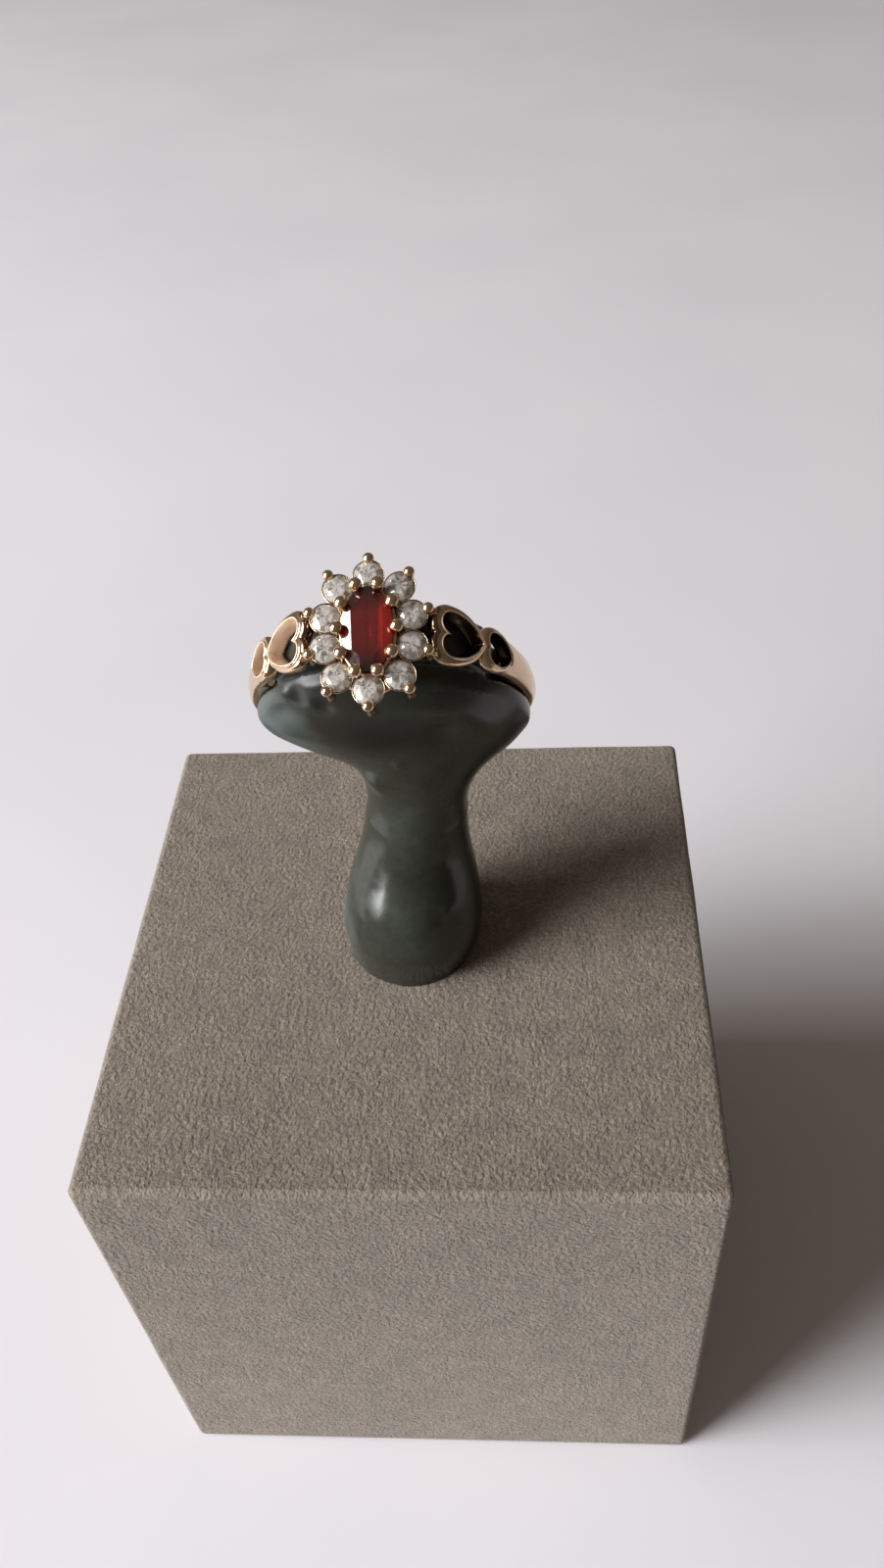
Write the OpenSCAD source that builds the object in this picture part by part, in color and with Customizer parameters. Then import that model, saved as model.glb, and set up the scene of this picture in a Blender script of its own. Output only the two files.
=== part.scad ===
/* [Block] */
// Width of the block
block_width = 45; // [30:0.5:80]
// Depth of the block
block_depth = 44.1; // [30:0.1:80]
// Height of the block
block_height = 46.5; // [20:0.5:80]
/* [Post] */
// Width of the round foot that stands on the block
foot_width = 10.7; // [9:0.1:14]
// Width of the post where it is thinnest
neck_width = 7.45; // [5:0.05:8]
// Distance up the post where the foot has drawn in to the neck
neck_height = 13.3; // [12:0.1:14]
// How far the post leans to the right on its way up, in degrees
post_lean = 5.4; // [0:0.1:7]
// How far the post leans back on its way up, in degrees
post_lean_back = 8; // [0:0.5:10]
// How far the end of the cap stands out in front of the band
cap_front = 3.4; // [3.1:0.1:3.7]
// How far the cap stands out of the back of the ring
cap_back = 0.4; // [0:0.1:2]
// Space left between the cap and the inside of the ring
cap_gap = 0.12; // [0.05:0.01:0.3]
/* [Ring] */
// Inside diameter of the ring
finger_hole = 17.2; // [16:0.1:20]
// Width of the band
band_width = 2.1; // [1.6:0.1:2.6]
// Thickness of the band
band_thickness = 1.15; // [1:0.05:1.4]
// How far the top of the ring leans forward on its post, in degrees
ring_tilt = 32.3; // [25:0.1:40]
// How far the ring is turned about the middle of its stones, in degrees
ring_turn = 0.8; // [-3:0.1:3]
// How far the ring leans to the left, in degrees
ring_lean = 0.7; // [-3:0.1:3]
// Height of the middle of the finger hole above the ground
ring_height = 68.7; // [66:0.1:72]
// Distance from the middle of the block back to the middle of the finger hole
ring_back = 3.55; // [0:0.05:6]
// Distance from the middle of the block across to the middle of the finger hole
ring_side = 0.2; // [-2:0.1:2]
/* [Shoulders] */
// Radius of the arc that the outside of each shoulder follows
shoulder_radius = 14.9; // [14.5:0.1:15.5]
// Depth of the metal round the hearts, which leaves the shoulders open underneath
shoulder_depth = 1; // [0.9:0.05:1.3]
// Width across the opening of the large heart
large_heart_width = 2.84; // [2.4:0.02:3]
// Width across the opening of the small heart
small_heart_width = 1.86; // [1.6:0.02:2]
// Thickness of the metal round the hearts
heart_rim = 0.5; // [0.3:0.02:0.54]
/* [Cluster] */
// Diameter of each small stone
small_stone = 1.8; // [1.7:0.02:1.86]
// Length of the ruby
ruby_length = 5.3; // [5:0.05:5.4]
// Width of the ruby
ruby_width = 3.1; // [2.9:0.02:3.2]
// Height of the small stones' widest edge above the middle of the finger hole
small_stone_height = 11.9; // [11.7:0.05:12.1]
// How much higher the ruby's widest edge sits
ruby_lift = 0.55; // [0.45:0.05:0.7]
// Diameter of the bead on each inner claw
inner_bead = 0.7; // [0.6:0.02:0.72]
// Diameter of the bead on each outer claw
outer_bead = 0.66; // [0.56:0.02:0.7]
/* [Hidden] */
$fn = 64;

gold = "#c79a5b";

// The foot: the height of its widest place, how far it draws in below that, and how far
// the leaning foot reaches down before it is cut level with the block's top
foot_widest = 2.5;
foot_undercut = 0.5;
foot_sink = 1.3;
// The straight run of the neck, and the start of the flare above it, which is a little wider
neck_run = 2;
neck_overlap = 0.6;
neck_swell = 0.1;
// The cap's rounded front in steps: how far each stands past the finger hole, how far it lies to
// the right, and how far forward as a share of the cap's front
cap_steps = [
    [0.7, 0.05, 0], [0.6, 0.1, 0.25], [0, 0.35, 0.43], [-1.2, 1.05, 0.66], [-2.5, 1.4, 0.86], [-3.5, 1.6, 1]
];
step_thick = 0.05;
// Where the putty swells up under the open shoulders: its half width, the heights it starts and ends
// at, how far it stops short of the metal over it, how far past the band it reaches in front, and how
// far past the cap it reaches behind
swell_half = 6.6;
swell_heights = [5, 9.8];
swell_gap = 0.25;
swell_front = 0.1;
swell_behind = 0.5;
// How far the neck runs on inside the cap, and the circle on the cap's front to which its flare opens
// out: its radius, how far it lies to the right and down, and how far forward as a share of the front
neck_inside = 4.2;
flare_radius = 5;
flare_side = 1.95;
flare_drop = 1;
flare_forward = 0.92;

hole_radius = finger_hole / 2;
outer_radius = hole_radius + band_thickness;

// The shoulders' arc is centred on the far side of the hole, so that it runs out into the band
shoulder_offset = shoulder_radius - outer_radius;
// The middle of each heart, measured round the shoulder's arc from the top
large_heart_angle = 46.5;
small_heart_angle = 61;
heart_steps = 12;
side_steps = 6;
// How deep under the shoulder's outside a heart is cut, and how far above it the cut starts
cut_under = 5;
cut_over = 2;
// Below the small heart the shoulder draws in to the band and then to a narrow tongue that runs out
// on top of it; these are measured down the shoulder from the middle of the small heart
taper_start = -0.5;
taper_end = 2.1;
tongue_end = 5.8;
tongue_half = 0.35;
// Where the shank takes over from the shoulders, measured round the hole from the top
shank_start = 54.5;
// The radius of the band's rounded outside, as a share of its width
band_crown = 0.8;

// The small stones' centres in a quarter of the cluster, x and y
stone_quarter = [[0, 3.6], [1.87, 2.78], [2.6, 0.95]];
// Each outer claw stands this far out from its stone's centre, with its bead this far above the stone's edge
outer_reach = 1.04;
outer_bead_height = 0.12;
outer_post = 0.25;
// The inner claws stand on an oval, at these places round a quarter of it
claw_quarter = [0, 32.5, 68.5];
claw_oval = [1.8, 2.9];
inner_bead_height = 0.4;
inner_post = 0.19;

// Each small stone: heights as shares of its diameter, and the other sizes as shares of its radius
stone_clearance = 0.02;
// The crown's triangles stand out past a plain cone, so the space over the stone is this much higher
crown_room = 0.09;
brilliant_mains = 8;
crown_share = 0.15;
pavilion_share = 0.42;
table_share = 0.56;
star_share = 0.79;
lower_share = 0.24;
girdle_share = 0.03;
stone_turn = 17;

cup_wall = 0.09;
cup_depth = 1.25;
cup_foot_radius = 0.55;
// The oval rail under the cups: the heights of its faces, and its half width and length at mid rail
gallery_top = 10.75;
gallery_bottom = 10.15;
gallery_oval = [2.35, 3.3];
gallery_rail = 0.5;
// The ruby's seat, with its opening as a share of the ruby's widest edge
seat_depth = 0.7;
seat_wall = 0.2;
seat_share = 0.84;
// The bars between the cluster and the large hearts: where each starts across, its length, and how
// far it lies from the middle; the lower bar rises to the lobes' underside, and the upper bar's top
// lies this far under the small stones' edge
strut_width = 0.55;
low_strut = [2.2, 1.4, 1.05];
low_strut_rise = 0.45;
high_strut = [3.45, 0.75, 1.22];
high_strut_drop = 0.1;
high_strut_height = 0.75;

ruby_crown = 0.62;
ruby_pavilion = 1.35;
ruby_table = 0.6;
ruby_rim = 0.03;
ruby_sides = 12;
// The corners between the two slopes under the ruby, as shares of its width, length and depth
ruby_step = [0.62, 0.66, 0.58];
// How far under the widest edge the ruby is as narrow as its seat's opening
seat_drop = ruby_rim + ruby_pavilion * ruby_step.z * (1 - seat_share) / (1 - ruby_step.y) + stone_clearance;

// Turns a quarter's x and y into all four quarters, once each, clockwise from the top
function all_round(quarter) = [
    quarter[0],
    for (i = [1 : 2]) quarter[i],
    for (i = [2 : -1 : 1]) [quarter[i].x, -quarter[i].y],
    [0, -quarter[0].y],
    for (i = [1 : 2]) [-quarter[i].x, -quarter[i].y],
    for (i = [2 : -1 : 1]) [-quarter[i].x, quarter[i].y]
];
stone_places = all_round(stone_quarter);
claw_half = [-claw_quarter[2], -claw_quarter[1], 0, claw_quarter[1], claw_quarter[2]];
claw_angles = [for (side = [0, 180], a = claw_half) side + a];

function on_oval(half, a) = [half.x * cos(a), half.y * sin(a)];
function spoke(r, a, z) = [r * cos(a), r * sin(a), z];

module ring_frame() {
    translate([ring_side, ring_back, ring_height])
        rotate([ring_tilt, 0, 0])
            rotate([0, -ring_lean, ring_turn])
                children();
}

module both_sides() {
    children();
    mirror([1, 0, 0])
        children();
}

// A shape drawn with x down the shoulder and y across it, pushed through the wall of the ring
module through_shoulder(angle) {
    translate([shoulder_radius * sin(angle) - shoulder_offset, 0, shoulder_radius * cos(angle)])
        rotate([0, angle, 0])
            translate([0, 0, -cut_under])
                linear_extrude(height = cut_under + cut_over)
                    children();
}

// A heart with its two lobes at lobe_x and its tip at tip_x, and full sides of a larger radius
// between them; grow makes it larger all round
module heart(lobe_x, tip_x, half_width, lobe_radius, side_radius, grow = 0) {
    lobe_y = half_width - lobe_radius;
    radius = lobe_radius + grow;
    reach = norm([tip_x - lobe_x, lobe_y]);
    // The side's arc runs on from the lobe's at this angle, and its centre lies beyond the middle
    spare = side_radius - lobe_radius;
    bend = acos((side_radius * side_radius - spare * spare - reach * reach) / (2 * spare * reach));
    side = bend - atan2(lobe_y, tip_x - lobe_x);
    centre = [lobe_x - spare * cos(side), lobe_y - spare * sin(side)];
    side_end = asin(-centre.y / (side_radius + grow));
    notch = 180 + asin(lobe_y / radius);
    half = concat(
        [
            for (i = [0 : heart_steps])
                let (a = notch + (side - notch) * i / heart_steps)
                    [lobe_x + radius * cos(a), lobe_y + radius * sin(a)]
        ],
        [
            for (i = [1 : side_steps])
                let (a = side + (side_end - side) * i / side_steps)
                    centre + (side_radius + grow) * [cos(a), sin(a)]
        ]
    );
    other_half = [for (i = [len(half) - 2 : -1 : 1]) [half[i].x, -half[i].y]];
    polygon(concat(half, other_half));
}

module large_heart(grow = 0) {
    heart(-0.97, 1.72, large_heart_width / 2, lobe_radius = 0.712, side_radius = 3.2, grow = grow);
}

module small_heart(grow = 0) {
    heart(-0.9, 0.98, small_heart_width / 2, lobe_radius = 0.5, side_radius = 2, grow = grow);
}

// The shoulders' arc as a thick plate that is open underneath, down to where the finger hole cuts it
module shoulder_slab() {
    half = large_heart_width;
    rotate([90, 0, 0])
        difference() {
            translate([-shoulder_offset, 0, -half])
                cylinder(r = shoulder_radius, h = half * 2, $fn = 128);
            translate([-shoulder_offset, 0, -half * 2])
                cylinder(r = shoulder_radius - shoulder_depth, h = half * 4, $fn = 128);
            translate([0, 0, -half * 2])
                cylinder(r = hole_radius, h = half * 4, $fn = 128);
        }
}

module shoulder() {
    lobe_half = small_heart_width / 2 + heart_rim * 0.95;
    band_half = band_width / 2 - 0.05;
    difference() {
        intersection() {
            shoulder_slab();
            union() {
                through_shoulder(large_heart_angle)
                    large_heart(heart_rim);
                through_shoulder(small_heart_angle) {
                    small_heart(heart_rim);
                    // The sides draw in from the lobes to the band's width, then to a tongue along its top
                    polygon([
                        [taper_start, lobe_half], [taper_end, band_half], [tongue_end, tongue_half],
                        [tongue_end, -tongue_half], [taper_end, -band_half], [taper_start, -lobe_half]
                    ]);
                }
            }
        }
        through_shoulder(large_heart_angle)
            large_heart();
        through_shoulder(small_heart_angle)
            small_heart();
    }
}

module shank() {
    crown_circle = band_width * band_crown;
    wedge = outer_radius * 2;
    difference() {
        rotate([90, 0, 0])
            rotate_extrude($fn = 128)
                intersection() {
                    translate([hole_radius, -band_width / 2])
                        square([band_thickness, band_width]);
                    translate([outer_radius - crown_circle, 0])
                        circle(r = crown_circle);
                }
        rotate([90, 0, 0])
            translate([0, 0, -band_width])
                linear_extrude(height = band_width * 2)
                    polygon([
                        [0, 0], [wedge * sin(shank_start), wedge * cos(shank_start)],
                        [0, wedge * 2], [-wedge * sin(shank_start), wedge * cos(shank_start)]
                    ]);
    }
}

// The outline of a round stone, turned about its own middle, with clearance all round it
module stone_space() {
    radius = small_stone / 2 + stone_clearance;
    rim = radius * girdle_share + stone_clearance;
    pavilion = radius * 2 * pavilion_share;
    crown = radius * 2 * crown_share;
    translate([0, 0, -rim - pavilion])
        cylinder(r1 = 0, r2 = radius, h = pavilion);
    translate([0, 0, -rim])
        cylinder(r = radius, h = rim * 2 + crown_room);
    translate([0, 0, rim + crown_room])
        cylinder(r1 = radius, r2 = radius * table_share, h = crown);
}

module cups() {
    rim = small_stone / 2 + cup_wall;
    for (place = stone_places)
        translate([place.x, place.y, small_stone_height - cup_depth])
            cylinder(r1 = cup_foot_radius, r2 = rim, h = cup_depth);
}

module outer_claws() {
    for (place = stone_places) {
        away = place / norm(place);
        spot = place + away * outer_reach;
        translate([spot.x, spot.y, gallery_top])
            cylinder(r = outer_post, h = small_stone_height + outer_bead_height - gallery_top, $fn = 32);
        translate([spot.x, spot.y, small_stone_height + outer_bead_height])
            sphere(d = outer_bead, $fn = 32);
    }
}

module inner_claws() {
    bead_height = small_stone_height + ruby_lift + inner_bead_height;
    for (a = claw_angles) {
        spot = on_oval(claw_oval, a);
        translate([spot.x, spot.y, gallery_bottom])
            cylinder(r = inner_post, h = bead_height - gallery_bottom, $fn = 32);
        translate([spot.x, spot.y, bead_height])
            sphere(d = inner_bead, $fn = 32);
    }
}

module oval_ring(outside, inside, height) {
    steps = 48;
    linear_extrude(height = height)
        difference() {
            polygon([for (i = [0 : steps - 1]) on_oval(outside, i * 360 / steps)]);
            polygon([for (i = [0 : steps - 1]) on_oval(inside, i * 360 / steps)]);
        }
}

module gallery() {
    half_rail = gallery_rail / 2 * [1, 1];
    translate([0, 0, gallery_bottom])
        oval_ring(gallery_oval + half_rail, gallery_oval - half_rail, gallery_top - gallery_bottom);
    // The seat that the ruby's lower half sits in
    ruby_half = [ruby_width, ruby_length] / 2;
    translate([0, 0, small_stone_height + ruby_lift - seat_drop - seat_depth])
        oval_ring(ruby_half + seat_wall * [1, 1], ruby_half * seat_share, seat_depth);
}

// Short bars that carry the cluster between the lobes of the two large hearts
module struts() {
    for (side = [-1, 1]) {
        translate([low_strut.x, side * low_strut.z + strut_width / 2, 0])
            rotate([90, 0, 0])
                linear_extrude(height = strut_width)
                    polygon([
                        [0, gallery_bottom], [low_strut.y, gallery_bottom + low_strut_rise],
                        [low_strut.y, gallery_top + low_strut_rise], [0, gallery_top]
                    ]);
        translate([high_strut.x, side * high_strut.z - strut_width / 2, small_stone_height - high_strut_drop])
            mirror([0, 0, 1])
                cube([high_strut.y, strut_width, high_strut_height]);
    }
}

module display_block() {
    color("#7d7367")
        translate([-block_width / 2, -block_depth / 2, 0])
            cube([block_width, block_depth, block_height]);
}

// The half width of the post at a height above the block: a round foot that draws in to the neck
function stem_radius(h) =
    h < foot_widest
        ? foot_width / 2 - foot_undercut * (1 - sin(90 * h / foot_widest))
        : let (way_up = (h - foot_widest) / (neck_height - foot_widest))
            neck_width / 2 + (foot_width - neck_width) / 4 * (1 + cos(180 * way_up));

module stem() {
    steps = 15;
    top = neck_height + neck_run + neck_inside;
    rotate_extrude()
        polygon(concat(
            [[0, -foot_sink], [stem_radius(0), -foot_sink]],
            [for (i = [0 : steps]) [stem_radius(i * neck_height / steps), i * neck_height / steps]],
            [[neck_width / 2, top], [0, top]]
        ));
}

// The plug that fills the finger hole, drawn along the finger with the cap's near edge at 0
module cap_plug() {
    rotate([-90, 0, 0])
        translate([0, 0, -band_width / 2])
            cylinder(r = hole_radius - cap_gap, h = band_width * 1.5 + cap_gap + cap_back, $fn = 128);
}

// The putty that was squeezed up between the plug and the two shoulders
module cap_swell() {
    arch_radius = shoulder_radius - shoulder_depth - swell_gap;
    reach = band_width / 2 + cap_back + swell_behind;
    intersection() {
        translate([-swell_half, -band_width / 2 - swell_front, swell_heights[0]])
            cube([swell_half * 2, band_width / 2 + swell_front + reach, swell_heights[1] - swell_heights[0]]);
        intersection_for(side = [-1, 1])
            translate([side * shoulder_offset, -band_width, 0])
                rotate([-90, 0, 0])
                    cylinder(r = arch_radius, h = band_width + reach, $fn = 96);
    }
}

// A thin round slice of the cap, so far in front of its near edge, to the right and up
module cap_slice(radius, side, forward, up = 0) {
    translate([side, -forward, up])
        rotate([90, 0, 0])
            cylinder(r = radius, h = step_thick, $fn = 48);
}

// The wide rounded front of the cap, which the neck opens out into; it hugs the band's near face
module cap_dome() {
    hull()
        for (step = cap_steps)
            cap_slice(hole_radius + step.x, step.y, (cap_front - step_thick) * step.z);
}

module display_post() {
    cap_edge = -band_width / 2 - cap_gap;
    color("#26332e") {
        translate([0, 0, block_height])
            difference() {
                rotate([-post_lean_back, post_lean, 0])
                    stem();
                translate([-foot_width, -foot_width, -foot_sink * 2])
                    cube([foot_width * 2, foot_width * 2, foot_sink * 2]);
            }
        ring_frame() {
            cap_swell();
            translate([0, cap_edge, 0]) {
                cap_plug();
                cap_dome();
            }
        }
        hull() {
            translate([0, 0, block_height])
                rotate([-post_lean_back, post_lean, 0])
                    translate([0, 0, neck_height + neck_run])
                        cylinder(d = neck_width + neck_swell, h = neck_overlap, $fn = 48);
            ring_frame()
                translate([0, cap_edge, 0])
                    cap_slice(flare_radius, flare_side, cap_front * flare_forward, up = -flare_drop);
        }
    }
}

// A round brilliant with its widest edge at z 0: a table, kites and triangles above, and a point below
module brilliant(radius) {
    half_step = 180 / brilliant_mains;
    crown = radius * 2 * crown_share;
    pavilion = radius * 2 * pavilion_share;
    rim = radius * girdle_share;
    n = brilliant_mains;
    // Heights that keep each kite flat between its inner and its outer corner
    star_height = rim + crown * (1 - star_share * cos(half_step)) / (1 - table_share);
    lower_height = -rim - pavilion * (1 - lower_share * cos(half_step));
    points = concat(
        [for (i = [0 : n - 1]) spoke(radius * table_share, 2 * i * half_step, rim + crown)],
        [for (i = [0 : n - 1]) spoke(radius * star_share, (2 * i + 1) * half_step, star_height)],
        [for (j = [0 : 2 * n - 1]) spoke(radius, j * half_step, rim)],
        [for (j = [0 : 2 * n - 1]) spoke(radius, j * half_step, -rim)],
        [for (i = [0 : n - 1]) spoke(radius * lower_share, (2 * i + 1) * half_step, lower_height)],
        [[0, 0, -rim - pavilion]]
    );
    star = n;
    upper = 2 * n;
    lower = 4 * n;
    deep = 6 * n;
    culet = 7 * n;
    polyhedron(points, concat(
        [[for (i = [n - 1 : -1 : 0]) i]],
        [for (i = [0 : n - 1]) [i, (i + 1) % n, star + i]],
        [for (i = [0 : n - 1]) [i, star + i, upper + 2 * i, star + (i + n - 1) % n]],
        [for (i = [0 : n - 1]) each [
            [upper + 2 * i, star + i, upper + 2 * i + 1],
            [upper + 2 * i + 1, star + i, upper + (2 * i + 2) % (2 * n)]
        ]],
        [for (j = [0 : 2 * n - 1]) [
            upper + j, upper + (j + 1) % (2 * n), lower + (j + 1) % (2 * n), lower + j
        ]],
        [for (i = [0 : n - 1]) each [
            [lower + 2 * i, lower + 2 * i + 1, deep + i],
            [lower + 2 * i + 1, lower + (2 * i + 2) % (2 * n), deep + i]
        ]],
        [for (i = [0 : n - 1]) [culet, deep + (i + n - 1) % n, lower + 2 * i, deep + i]]
    ));
}

// A small stone in its cup, turned a little further round than the one before it
module small_stone_at(i) {
    color("#e8e6ea")
        ring_frame()
            translate([stone_places[i].x, stone_places[i].y, small_stone_height])
                rotate([0, 0, i * stone_turn])
                    brilliant(small_stone / 2);
}

// An oval stone cut in steps: a table, one slope above the widest edge, and two below that end in a keel
module ruby() {
    n = ruby_sides;
    half = [ruby_width, ruby_length] / 2;
    // Each row of corners: how wide and how long it is, as shares of the widest edge, and its height
    rows = [
        [ruby_table, ruby_table, ruby_rim + ruby_crown],
        [1, 1, ruby_rim],
        [1, 1, -ruby_rim],
        [ruby_step.x, ruby_step.y, -ruby_rim - ruby_pavilion * ruby_step.z],
        [0.07, 0.3, -ruby_rim - ruby_pavilion]
    ];
    last = len(rows) - 1;
    color("#8c1416")
        ring_frame()
            translate([0, 0, small_stone_height + ruby_lift])
                polyhedron(
                    [for (row = rows, i = [0 : n - 1])
                        let (a = (i + 0.5) * 360 / n)
                            [half.x * row[0] * cos(a), half.y * row[1] * sin(a), row[2]]],
                    concat(
                        [[for (i = [n - 1 : -1 : 0]) i]],
                        [for (r = [0 : last - 1], i = [0 : n - 1]) [
                            r * n + i, r * n + (i + 1) % n, (r + 1) * n + (i + 1) % n, (r + 1) * n + i
                        ]],
                        [[for (i = [0 : n - 1]) last * n + i]]
                    )
                );
}

module gold_ring() {
    color(gold)
        ring_frame()
            union() {
                shank();
                both_sides()
                    shoulder();
                difference() {
                    union() {
                        cups();
                        outer_claws();
                        inner_claws();
                        gallery();
                        both_sides()
                            struts();
                    }
                    for (place = stone_places)
                        translate([place.x, place.y, small_stone_height])
                            stone_space();
                }
            }
}

display_block();
display_post();
gold_ring();
ruby();
small_stone_at(0);  // stone_01
small_stone_at(1);  // stone_02
small_stone_at(2);  // stone_03
small_stone_at(3);  // stone_04
small_stone_at(4);  // stone_05
small_stone_at(5);  // stone_06
small_stone_at(6);  // stone_07
small_stone_at(7);  // stone_08
small_stone_at(8);  // stone_09
small_stone_at(9);  // stone_10
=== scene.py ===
import math

import bmesh
import bpy
from mathutils import Matrix, Vector, noise


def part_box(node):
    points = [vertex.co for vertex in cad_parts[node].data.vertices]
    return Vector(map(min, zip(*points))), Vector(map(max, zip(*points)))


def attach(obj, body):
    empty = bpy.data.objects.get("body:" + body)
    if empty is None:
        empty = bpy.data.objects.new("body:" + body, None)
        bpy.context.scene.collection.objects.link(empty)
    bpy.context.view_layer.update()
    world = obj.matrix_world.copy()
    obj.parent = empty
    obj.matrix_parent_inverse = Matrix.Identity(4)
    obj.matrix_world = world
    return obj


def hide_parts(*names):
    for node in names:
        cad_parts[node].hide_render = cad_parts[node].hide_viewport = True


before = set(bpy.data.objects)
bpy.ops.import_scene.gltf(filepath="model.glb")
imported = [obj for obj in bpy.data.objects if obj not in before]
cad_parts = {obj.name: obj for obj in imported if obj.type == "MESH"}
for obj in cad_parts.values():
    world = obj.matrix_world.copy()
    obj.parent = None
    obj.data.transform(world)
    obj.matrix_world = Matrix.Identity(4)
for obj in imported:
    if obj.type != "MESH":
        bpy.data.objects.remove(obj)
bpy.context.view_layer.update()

# The block of the display stand: light board cut square, wrapped in one piece of taupe suede
# cloth that is glued down and turned over soft edges. It rests on its flat underside.
mm = 0.001
block_low, block_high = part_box("display_block")
edge_round = 0.6 * mm
cells_a_side = 44
# The cloth sinks in soft lumps, by no more than twice this
cloth_sink = 0.045 * mm
lumps_a_metre = 190


def stops_across(start, end):
    """Places across one side of the block: close together round the edges and even between."""
    curl = [edge_round * math.tan(math.radians(9 * k)) for k in range(6)]
    first, last = start + edge_round, end - edge_round
    between = [first + (last - first) * k / cells_a_side for k in range(1, cells_a_side)]
    return [first - c for c in reversed(curl)] + between + [last + c for c in curl]


def lay_grid(mesh, rows, round_again=False, back_to_start=False):
    """Makes faces between rows of corners; rows may close on themselves either way."""
    count, width = len(rows), len(rows[0])
    for i in range(count if back_to_start else count - 1):
        for j in range(width if round_again else width - 1):
            a, b = rows[i], rows[(i + 1) % count]
            k = (j + 1) % width
            mesh.faces.new((a[j], a[k], b[k], b[j]))


def show(name, mesh, finish, stands_for=(), smooth=True):
    """Turns a finished mesh, in metres, into a piece of the ring or its stand."""
    bmesh.ops.recalc_face_normals(mesh, faces=mesh.faces)
    data = bpy.data.meshes.new(name)
    mesh.to_mesh(data)
    mesh.free()
    for face in data.polygons:
        face.use_smooth = smooth
    data.materials.append(finish)
    piece = bpy.data.objects.new(name, data)
    bpy.context.scene.collection.objects.link(piece)
    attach(piece, "root")
    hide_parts(*stands_for)
    return piece


def paint(piece, name, amounts):
    """Writes an amount for each point of a piece, of wear or of painted light and shade, for its material
    to read.
    """
    layer = piece.data.attributes.new(name, "FLOAT", "POINT")
    for k, amount in enumerate(amounts):
        layer.data[k].value = amount


def new_finish(name, **settings):
    """A material with its main shader's plain values set; returns it with its nodes and that shader."""
    finish = bpy.data.materials.new(name)
    finish.use_nodes = True
    shader = finish.node_tree.nodes["Principled BSDF"]
    for socket, value in settings.items():
        shader.inputs[socket.replace("_", " ")].default_value = value
    return finish, finish.node_tree, shader


def put(tree, kind, feeds=(), **settings):
    """Adds one node. feeds pairs each of its inputs with a value or with the output that drives it."""
    node = tree.nodes.new(kind)
    for key, value in settings.items():
        setattr(node, key, value)
    for key, value in dict(feeds).items():
        if isinstance(value, bpy.types.NodeSocket):
            tree.links.new(value, node.inputs[key])
        else:
            node.inputs[key].default_value = value
    return node


def painted(tree, name):
    """The amount that paint wrote under that name."""
    return put(tree, "ShaderNodeAttribute", attribute_name=name).outputs["Fac"]


def grain(tree, size, detail=2.0, rough=0.5):
    """Soft random grain whose lumps are about that many millimetres across."""
    here = put(tree, "ShaderNodeTexCoord").outputs["Object"]
    return put(tree, "ShaderNodeTexNoise", {
        "Vector": here, "Scale": 1000.0 / size, "Detail": detail, "Roughness": rough,
    }).outputs["Fac"]


def grey(level):
    """An even grey."""
    return (level, level, level)


def shades(tree, drive, stops):
    """Colours that follow a driving value, given as pairs of a place from 0 to 1 and a colour."""
    ramp = put(tree, "ShaderNodeValToRGB", {"Fac": drive})
    while len(ramp.color_ramp.elements) < len(stops):
        ramp.color_ramp.elements.new(0.5)
    for element, (place, colour) in zip(ramp.color_ramp.elements, stops):
        element.position = place
        element.color = (*colour, 1.0)
    return ramp.outputs["Color"]


def blended(tree, how, amount, under, over):
    """One colour laid on another; how is the kind of mixing."""
    mixer = put(tree, "ShaderNodeMix", data_type="RGBA", blend_type=how)
    for socket, value in ((mixer.inputs[0], amount), (mixer.inputs[6], under), (mixer.inputs[7], over)):
        if isinstance(value, bpy.types.NodeSocket):
            tree.links.new(value, socket)
        else:
            socket.default_value = value
    return mixer.outputs[2]


def spread(tree, drive, low, high):
    """Turns a value from 0.3 to 0.7, where soft grain lies, into one from low to high."""
    return put(tree, "ShaderNodeMapRange", {
        "Value": drive, "From Min": 0.3, "From Max": 0.7, "To Min": low, "To Max": high,
    }).outputs["Result"]


def bumpy(tree, shader, height, depth, strength):
    """Lets a height pattern stand out of the surface, depth in millimetres."""
    bump = put(tree, "ShaderNodeBump", {"Height": height, "Distance": depth * mm, "Strength": strength})
    tree.links.new(bump.outputs["Normal"], shader.inputs["Normal"])


suede, tree, shader = new_finish("taupe_suede", Roughness=0.95, Sheen_Weight=0.3, Sheen_Roughness=0.45)
shader.inputs["Sheen Tint"].default_value = (0.86, 0.8, 0.74, 1)
nap = grain(tree, 0.3, 3.0, 0.7)
speckle = shades(tree, nap, [
    (0.3, (0.14, 0.115, 0.088)), (0.5, (0.205, 0.17, 0.135)), (0.7, (0.3, 0.258, 0.215))])
mottle = shades(tree, grain(tree, 1.6), [(0.3, grey(0.42)), (0.7, (0.58, 0.57, 0.56))])
broad = shades(tree, grain(tree, 13.0), [(0.3, grey(0.46)), (0.7, (0.53, 0.52, 0.525))])
cloth = blended(tree, "OVERLAY", 0.8, blended(tree, "OVERLAY", 0.9, speckle, mottle), broad)
# Paler at the edges: rubbed wear, and painted sheen where the nap catches the light
cloth = blended(tree, "MIX", painted(tree, "worn_edge_and_sheen"), cloth, (0.36, 0.31, 0.26, 1))
tree.links.new(cloth, shader.inputs["Base Color"])
tree.links.new(spread(tree, nap, 0.85, 1.0), shader.inputs["Roughness"])
bumpy(tree, shader, grain(tree, 0.36, 3.0, 0.65), 0.34, 1.0)

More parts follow.
